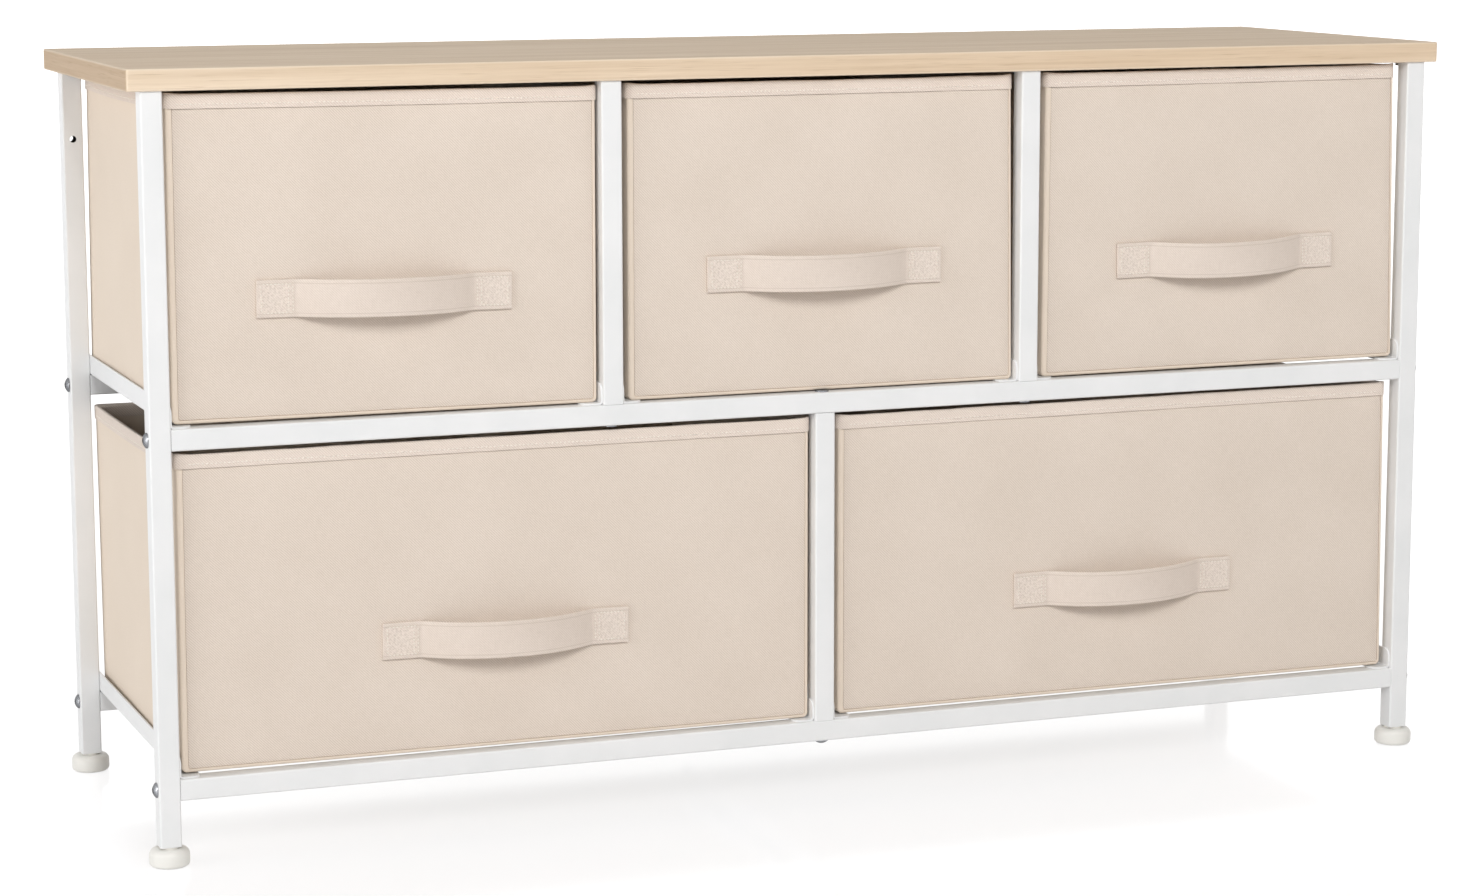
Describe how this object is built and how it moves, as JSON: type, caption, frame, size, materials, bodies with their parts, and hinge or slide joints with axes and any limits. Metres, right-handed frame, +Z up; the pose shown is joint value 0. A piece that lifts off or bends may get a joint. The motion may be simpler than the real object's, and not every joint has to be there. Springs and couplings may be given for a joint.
{
  "type": "fabric drawer dresser",
  "caption": "Low wide dresser with an oak-faced board on a white steel tube frame and beige fabric drawers with sewn strap handles that slide on angle runners",
  "frame": {"origin": "on the floor, at the middle of the overall box", "axes": "+Z up, the drawers open towards -Y, +X to the right seen from the front"},
  "size_m": [1, 0.3185, 0.545],
  "materials": {
    "oak_board": "light oak foil on particle board, satin",
    "white_powder_coat": "white powder coat on steel tube and sheet",
    "zinc": "bright zinc plate",
    "black_nylon": "moulded nylon, hidden inside the tubes",
    "ivory_plastic": "moulded, satin",
    "drawer_fabric": "beige linen-look fabric over card",
    "hem_fabric": "folded beige binding with a stitched edge",
    "strap_fabric": "folded and sewn strap of the drawer fabric",
    "fibreboard": "thin bare fibreboard"
  },
  "bodies": {
    "frame": {"top_board": "oak_board", "leg_front_left": "white_powder_coat", "upper_post_front_left": "white_powder_coat", "leg_front_right": "white_powder_coat", "upper_post_front_right": "white_powder_coat", "lower_post_front": "white_powder_coat", "bottom_rail_front": "white_powder_coat", "mid_rail_front": "white_powder_coat", "leg_rear_left": "white_powder_coat", "upper_post_rear_left": "white_powder_coat", "leg_rear_right": "white_powder_coat", "upper_post_rear_right": "white_powder_coat", "lower_post_rear": "white_powder_coat", "bottom_rail_rear": "white_powder_coat", "mid_rail_rear": "white_powder_coat", "upper_left_runner_left": "white_powder_coat", "upper_left_runner_right": "white_powder_coat", "upper_middle_runner_left": "white_powder_coat", "upper_middle_runner_right": "white_powder_coat", "upper_right_runner_left": "white_powder_coat", "upper_right_runner_right": "white_powder_coat", "lower_left_runner_left": "white_powder_coat", "lower_left_runner_right": "white_powder_coat", "lower_right_runner_left": "white_powder_coat", "lower_right_runner_right": "white_powder_coat", "board_tabs": "white_powder_coat", "board_screws": "zinc", "frame_bolts": "zinc", "low_head_bolts": "zinc", "tube_inserts": "black_nylon"},
    "upper_left_drawer": {"upper_left_bin": "drawer_fabric", "upper_left_hem": "hem_fabric", "upper_left_front_board": "fibreboard", "upper_left_base_board": "fibreboard", "upper_left_handle": "strap_fabric"},
    "upper_middle_drawer": {"upper_middle_bin": "drawer_fabric", "upper_middle_hem": "hem_fabric", "upper_middle_front_board": "fibreboard", "upper_middle_base_board": "fibreboard", "upper_middle_handle": "strap_fabric"},
    "upper_right_drawer": {"upper_right_bin": "drawer_fabric", "upper_right_hem": "hem_fabric", "upper_right_front_board": "fibreboard", "upper_right_base_board": "fibreboard", "upper_right_handle": "strap_fabric"},
    "lower_left_drawer": {"lower_left_bin": "drawer_fabric", "lower_left_hem": "hem_fabric", "lower_left_front_board": "fibreboard", "lower_left_base_board": "fibreboard", "lower_left_handle": "strap_fabric"},
    "lower_right_drawer": {"lower_right_bin": "drawer_fabric", "lower_right_hem": "hem_fabric", "lower_right_front_board": "fibreboard", "lower_right_base_board": "fibreboard", "lower_right_handle": "strap_fabric"},
    "foot_front_left_body": {"foot_front_left": "ivory_plastic"},
    "foot_front_right_body": {"foot_front_right": "ivory_plastic"},
    "foot_rear_left_body": {"foot_rear_left": "ivory_plastic"},
    "foot_rear_right_body": {"foot_rear_right": "ivory_plastic"}
  },
  "joints": [
    {"name": "upper_left_slide", "type": "slide", "parent": "frame", "child": "upper_left_drawer", "axis": [0, -1, 0], "range_m": [0, 0.2]},
    {"name": "upper_middle_slide", "type": "slide", "parent": "frame", "child": "upper_middle_drawer", "axis": [0, -1, 0], "range_m": [0, 0.2]},
    {"name": "upper_right_slide", "type": "slide", "parent": "frame", "child": "upper_right_drawer", "axis": [0, -1, 0], "range_m": [0, 0.2]},
    {"name": "lower_left_slide", "type": "slide", "parent": "frame", "child": "lower_left_drawer", "axis": [0, -1, 0], "range_m": [0, 0.2]},
    {"name": "lower_right_slide", "type": "slide", "parent": "frame", "child": "lower_right_drawer", "axis": [0, -1, 0], "range_m": [0, 0.2]},
    {"name": "foot_front_left_screw", "type": "slide", "parent": "frame", "child": "foot_front_left_body", "axis": [0, 0, -1], "range_m": [0, 0.008]},
    {"name": "foot_front_right_screw", "type": "slide", "parent": "frame", "child": "foot_front_right_body", "axis": [0, 0, -1], "range_m": [0, 0.008]},
    {"name": "foot_rear_left_screw", "type": "slide", "parent": "frame", "child": "foot_rear_left_body", "axis": [0, 0, -1], "range_m": [0, 0.008]},
    {"name": "foot_rear_right_screw", "type": "slide", "parent": "frame", "child": "foot_rear_right_body", "axis": [0, 0, -1], "range_m": [0, 0.008]}
  ]
}
